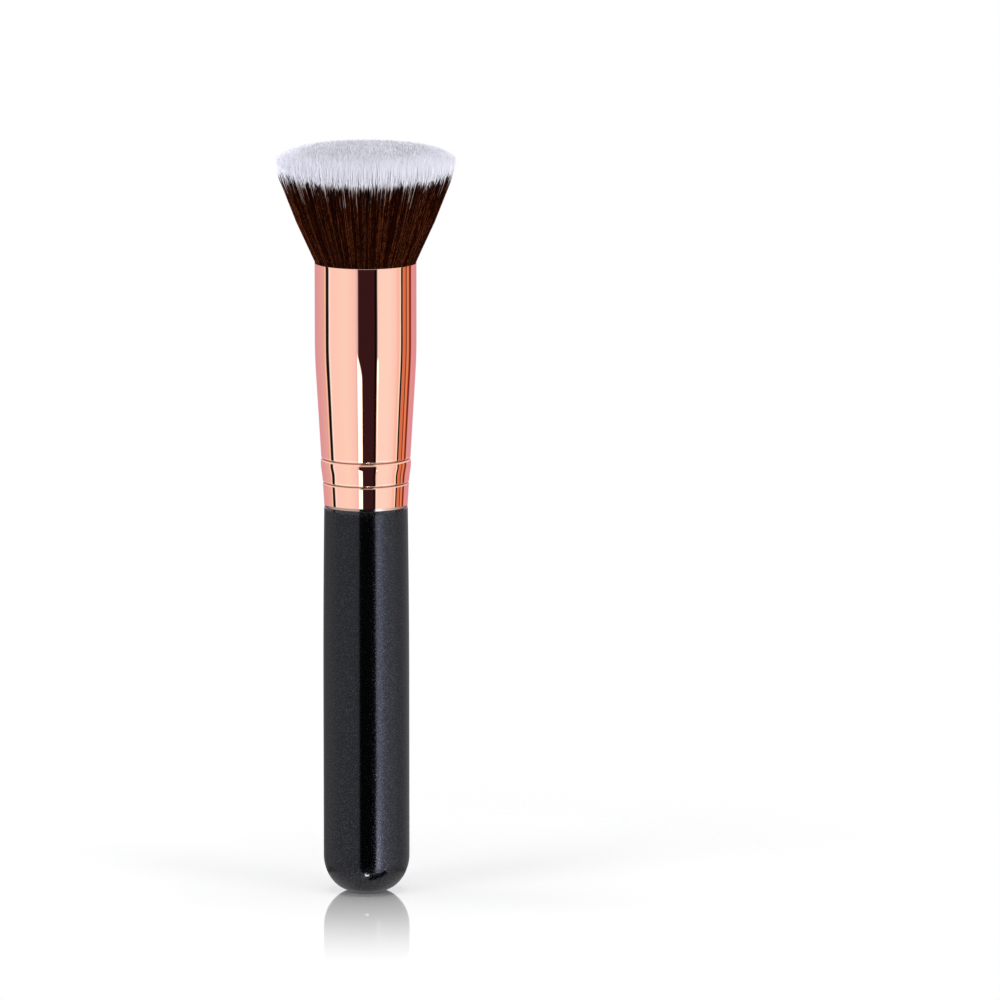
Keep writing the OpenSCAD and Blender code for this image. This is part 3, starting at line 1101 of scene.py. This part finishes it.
studioCards = {
    "left": [
        (-180, 0, (1.0, 1.0, 1.0)),
        (-167, 2, (0.78, 0.57, 0.68)),
        (-124, 12, (0.8, 0.6, 0.68)),
        (-107, 3, (1.0, 0.85, 0.72)),
        (-102, 1, (0.01, 0.008, 0.008)),
        (-91.5, 1, (1.05, 1.35, 1.5)),
        (-88, 4, (1.0, 0.95, 1.0)),
        (-62, 26, (1.0, 1.0, 1.0)),
        (-34, 18, (0.98, 0.88, 0.96)),
        (-22, 3, (0.84, 0.75, 0.85)),
        (-17, 1, (0.037, 0.0133, 0.0185)),
    ],
    "right": [
        (0, 0, (0.037, 0.0133, 0.0185)),
        (21, 2, (0.004, 0.003, 0.003)),
        (27, 1, (1.0, 1.02, 1.05)),
        (34, 2, (1.0, 1.05, 1.1)),
        (64, 16, (1.0, 0.95, 1.0)),
        (75, 10, (0.98, 0.76, 0.75)),
        (84.5, 1, (1.03, 1.2, 1.1)),
        (88, 1, (0.01, 0.006, 0.006)),
        (93.5, 1, (0.7, 0.32, 0.26)),
        (96, 2, (0.75, 0.25, 0.12)),
        (104, 1, (0.1, 0.03, 0.03)),
        (107.5, 1, (0.82, 0.36, 0.2)),
        (116.5, 1, (0.24, 0.03, 0.01)),
        (126, 2, (0.79, 0.5, 0.62)),
        (165, 2, (1.0, 1.0, 1.0)),
    ],
    "horizon": (2.0, 9.0),  # above these elevations the room is plain white
    "roomLight": (0.66, 0.66, 0.66 * 1.01, 1.0),
    "sideBlur": 0.5,  # of the smaller cards, in degrees
    "topBlur": 0.7,
}

# Smaller cards: azimuth from and to, elevation from and to, slant of the upper edge, brightness
smallCards = [
    (-18.5, -8.0, -32.0, -10.0, 0.45, (2.2, 2.2, 2.2)),  # white strip beside the camera
    (27.0, 30.6, -15.3, -11.2, 0.0, (2.2, 2.2, 2.2)),  # shorter strip on the other side
    (-17.5, 27.0, -180.0, -47.0, 0.0, (0.95, 0.95, 1.0)),  # pale table under the camera
    (-17.5, 27.0, 22.0, 64.0, 0.0, (0.037, 0.0133, 0.0185)),  # dark card over the camera
    (8.0, 54.0, -46.0, -33.0, 0.0, (0.04, 0.035, 0.04)),  # dark edge of the table
    (1.0, 12.0, -51.0, -47.0, 0.0, (14.0, 15.0, 16.0)),  # small lamp under the camera
]


def cardRamp(tree, azimuth, cards):
    stops = []
    for number, (start, feather, colour) in enumerate(cards):
        if feather:
            stops.append(((start - feather / 2 + 180) / 360, cards[number - 1][2]))
        stops.append(((start + feather / 2 + 180) / 360, colour))
    return ramp(tree, azimuth, stops)


def between(tree, value, low, high, soft):
    rises = remap(tree, value, low - soft, low + soft)
    return times(tree, rises, remap(tree, value, high - soft, high + soft, 1.0, 0.0))


def makeStudio():
    world = bpy.data.worlds.new("studio")
    world.use_nodes = True
    bpy.context.scene.world = world
    tree = world.node_tree
    ray = axes(tree, put(tree, "ShaderNodeTexCoord").outputs["Generated"])
    turn = calc(tree, "ARCTAN2", ray["X"], times(tree, ray["Y"], -1.0))
    turn = times(tree, turn, 180 / math.pi)
    azimuth = mulAdd(tree, turn, 1 / 360, 0.5)
    elevation = times(tree, calc(tree, "ARCSINE", ray["Z"]), 180 / math.pi)
    left = cardRamp(tree, azimuth, studioCards["left"])
    right = cardRamp(tree, azimuth, studioCards["right"])
    cards = blend(tree, calc(tree, "GREATER_THAN", azimuth, 0.5), left, right)
    mirrored = blend(tree, remap(tree, elevation, *studioCards["horizon"]), cards, white)
    for start, end, bottom, top, slant, colour in smallCards:
        across = between(tree, turn, start, end, studioCards["sideBlur"])
        slid = minus(tree, turn, start)
        slid = mulAdd(tree, slid, slant, elevation)
        here = times(tree, across, between(tree, slid, bottom, top, studioCards["topBlur"]))
        mirrored = blend(tree, here, mirrored, (*colour, 1.0))
    paths = put(tree, "ShaderNodeLightPath").outputs
    lit = blend(tree, paths["Is Glossy Ray"], studioCards["roomLight"], mirrored)
    seen = calc(tree, "MAXIMUM", paths["Is Camera Ray"], paths["Is Transmission Ray"])
    background = tree.nodes["Background"]
    feed(tree, background, {"Color": blend(tree, seen, lit, white), "Strength": 1.0})
    feed(tree, tree.nodes["World Output"], {"Surface": background.outputs[0]})


# Cards close round the handle, which only its gloss sees: azimuth from the camera, and light
handleCards = {
    "radius": 12.5,
    "low": 3.0,
    "headroom": 0.75,  # how far under the ferrule they end in front
    "slope": 0.82,  # and how much further round the back,
    "slopeReach": 132,  # at this azimuth
    "tableRadius": 70.0,  # the flat card under the butt
    "tableHeight": -0.02,
    "shadowRadius": (12.8, 14.2),  # nearer than this it mirrors the cards, and further off it is grey
    "grey": (0.55, 0.55, 0.57),
    "under": 0.3,  # how much light is left right under the butt
    "underReach": (3.0, 9.0),
    "behind": 0.4,  # and round the back
    "behindFrom": (40, 115),  # azimuth
    "behindReach": (12.0, 20.0),
    "tableMarks": [  # on the flat card: x from and to, y from and to, brightness
        (0.8, 10.4, -11.8, -8.8, (0.01, 0.01, 0.012)),
        (-0.5, 1.1, -12.3, -11.2, (16.0, 16.5, 17.0)),
        (11.2, 12.2, -13.1, -12.1, (8.0, 4.0, 4.5)),
    ],
    "markBlur": 0.2,
    "reach": 11.0,  # they light nothing further away than this
    "strip": (16.2, 25.92, 3.6),  # the narrow light's azimuth from and to, and its soft edge
    "stripGrowth": 1.2,  # it grows towards the table,
    "stripHeights": (30.0, 4.0),  # between these heights
    "around": 96,
    "stops": [
        (-180, (0.14, 0.14, 0.15)),
        (-160, (0.34, 0.34, 0.36)),
        (-140, (0.12, 0.12, 0.125)),
        (-98, (0.15, 0.15, 0.155)),
        (-80, (0.33, 0.33, 0.34)),
        (-66, (0.44, 0.44, 0.46)),
        (-41, (0.49, 0.5, 0.53)),
        (-12.8, (0.46, 0.47, 0.51)),
        (-10.6, (0.01, 0.01, 0.012)),
        (12.6, (0.01, 0.01, 0.012)),
        (17.2, (0.05, 0.05, 0.06)),
        (19.2, (1.35, 1.37, 1.65)),
        (26, (1.55, 1.62, 2.1)),
        (33, (1.0, 1.04, 1.28)),
        (42, (0.78, 0.8, 0.91)),
        (54, (0.66, 0.68, 0.74)),
        (66, (0.45, 0.45, 0.48)),
        (80, (0.34, 0.34, 0.37)),
        (98, (0.24, 0.24, 0.26)),
        (140, (0.15, 0.15, 0.155)),
        (151, (0.3, 0.3, 0.33)),
        (155, (1.1, 1.12, 1.3)),
        (162, (0.75, 0.77, 0.88)),
        (166, (0.14, 0.14, 0.15)),
        (180, (0.14, 0.14, 0.15)),
    ],
}


def addCard(name, profile, material, inward):
    cards = spun(name, profile, handleCards["around"], material)
    face = cards.data.polygons[0]
    way = Vector((-face.center.x, -face.center.y, 0)) if inward else Vector((0, 0, 1))
    if face.normal.dot(way) < 0:
        cards.data.flip_normals()
    for ray in ("camera", "diffuse", "transmission", "shadow"):
        setattr(cards, "visible_" + ray, False)


def makeHandleCards():
    look = handleCards
    material = bpy.data.materials.new("handleCards")
    material.use_nodes = True
    material.cycles.emission_sampling = "NONE"
    tree = material.node_tree
    tree.nodes.clear()
    where = axes(tree, objectPlace(tree))
    turn = calc(tree, "ARCTAN2", where["X"], times(tree, where["Y"], -1.0))
    azimuth = mulAdd(tree, turn, 1 / (2 * math.pi), 0.5)
    stops = [((angle + 180) / 360, colour) for angle, colour in look["stops"]]
    away = lengthOf(tree, vectorOf(tree, where["X"], where["Y"]))
    onTable = calc(tree, "LESS_THAN", where["Z"], 1.0 * mm)
    onWall = minus(tree, 1.0, onTable)
    near = times(tree, remap(tree, away, *inMetres(look["shadowRadius"]), 1.0, 0.0), onTable)
    colour = blend(tree, near, ramp(tree, azimuth, stops), (*look["grey"], 1.0))
    blur = look["markBlur"] * mm
    for left, right, front, back, bright in look["tableMarks"]:
        here = times(tree, between(tree, where["X"], left * mm, right * mm, blur), onTable)
        here = times(tree, here, between(tree, where["Y"], front * mm, back * mm, blur))
        colour = blend(tree, here, colour, (*bright, 1.0))
    low = remap(tree, where["Z"], *inMetres(look["stripHeights"]), 0.0, 1.0, "LINEAR")
    low = times(tree, calc(tree, "POWER", low, 2.0), onWall)
    first, last, soft = look["strip"]
    strip = between(tree, azimuth, (first + 180) / 360, (last + 180) / 360, soft / 360)
    strength = mulAdd(tree, times(tree, strip, low), look["stripGrowth"], 1.0)
    side = calc(tree, "ABSOLUTE", turn)
    dimmer = remap(tree, side, *[math.radians(angle) for angle in look["behindFrom"]])
    dimmer = times(tree, dimmer, onTable)
    dimmer = times(tree, dimmer, remap(tree, away, *inMetres(look["behindReach"]), 1.0, 0.0))
    strength = times(tree, strength, remap(tree, dimmer, 0.0, 1.0, 1.0, look["behind"], "LINEAR"))
    under = remap(tree, away, *inMetres(look["underReach"]), look["under"], 1.0)
    strength = times(tree, strength, under)
    light = put(tree, "ShaderNodeEmission", {"Color": colour, "Strength": strength})
    clear = put(tree, "ShaderNodeBsdfTransparent")
    # Clear from outside, to anything but the handle, and over a top edge that falls to the back
    outside = put(tree, "ShaderNodeNewGeometry").outputs["Backfacing"]
    length = put(tree, "ShaderNodeLightPath").outputs["Ray Length"]
    beyond = times(tree, calc(tree, "GREATER_THAN", length, look["reach"] * mm), onWall)
    slope = times(tree, side, 1 / math.radians(look["slopeReach"]))
    slope = calc(tree, "POWER", slope, 3.0)
    top = footZ - look["headroom"] * mm
    edge = mulAdd(tree, slope, -look["slope"] * mm, top)
    above = calc(tree, "GREATER_THAN", where["Z"], edge)
    hidden = calc(tree, "MAXIMUM", calc(tree, "MAXIMUM", outside, beyond), above)
    mixed = put(tree, "ShaderNodeMixShader", {0: hidden, 1: light.outputs[0], 2: clear.outputs[0]})
    put(tree, "ShaderNodeOutputMaterial", {"Surface": mixed.outputs[0]})
    wall = [(look["radius"], look["low"]), (look["radius"], top / mm)]
    table = [(0.0, look["tableHeight"]), (look["tableRadius"], look["tableHeight"])]
    addCard("handleCards", wall, material, True)
    addCard("tableCard", table, material, False)


lampRig = [
    # name, azimuth, elevation, distance, size, power
    ("keyLamp", -50.0, 20.0, 620.0, 320.0, 2.2),
    ("fillLamp", 54.0, 18.0, 620.0, 320.0, 1.72),
    ("leftRimLamp", -108.0, 4.0, 520.0, 240.0, 1.4),
    ("rightRimLamp", 108.0, 4.0, 520.0, 240.0, 0.4),
    ("topLamp", 0.0, 86.0, 520.0, 300.0, 2.3),
]


def aim(thing, target):
    away = thing.location - target
    thing.rotation_euler = away.to_track_quat("Z", "Y").to_euler()


def aroundObject(azimuth, elevation, distance, target):
    side = math.radians(azimuth)
    up = math.radians(elevation)
    way = Vector((math.sin(side) * math.cos(up), -math.cos(side) * math.cos(up), math.sin(up)))
    return target + way * distance


def makeLamps():
    target = Vector((0.0, 0.0, 0.6 * topZ))
    for name, azimuth, elevation, distance, size, power in lampRig:
        lamp = bpy.data.lights.new(name, "AREA")
        lamp.shape = "DISK"
        lamp.size = size * mm
        lamp.energy = power
        holder = addObject(name, lamp)
        holder.location = aroundObject(azimuth, elevation, distance * mm, target)
        aim(holder, target)
        holder.visible_glossy = False
        holder.visible_camera = False


# Camera: a long lens, a little above the brush, which stands left of the frame's middle

cameraView = {
    "elevation": 9.0,
    "lens": 400.0,
    "sensor": 36.0,
    "frame": 1000,  # pixels across the photograph
    "scale": 20.0 / 102.0,  # millimetres a pixel, from the 20 mm mouth of the ferrule
    "axisColumn": 366.0,
    "targetHeight": 77.8,
}


def makeCamera():
    view = cameraView
    width = view["scale"] * view["frame"] * mm
    distance = width * view["lens"] / view["sensor"]
    camera = bpy.data.cameras.new("camera")
    camera.lens = view["lens"]
    camera.sensor_width = view["sensor"]
    camera.clip_end = 10.0
    holder = addObject("camera", camera)
    aside = (view["frame"] / 2 - view["axisColumn"]) * view["scale"] * mm
    target = Vector((aside, 0.0, view["targetHeight"] * mm))
    holder.location = aroundObject(0.0, view["elevation"], distance, target)
    aim(holder, target)
    bpy.context.scene.camera = holder


makeFloor()
makeStudio()
makeHandleCards()
makeLamps()
makeCamera()
bpy.context.scene.view_settings.view_transform = "Standard"
print("studio made")
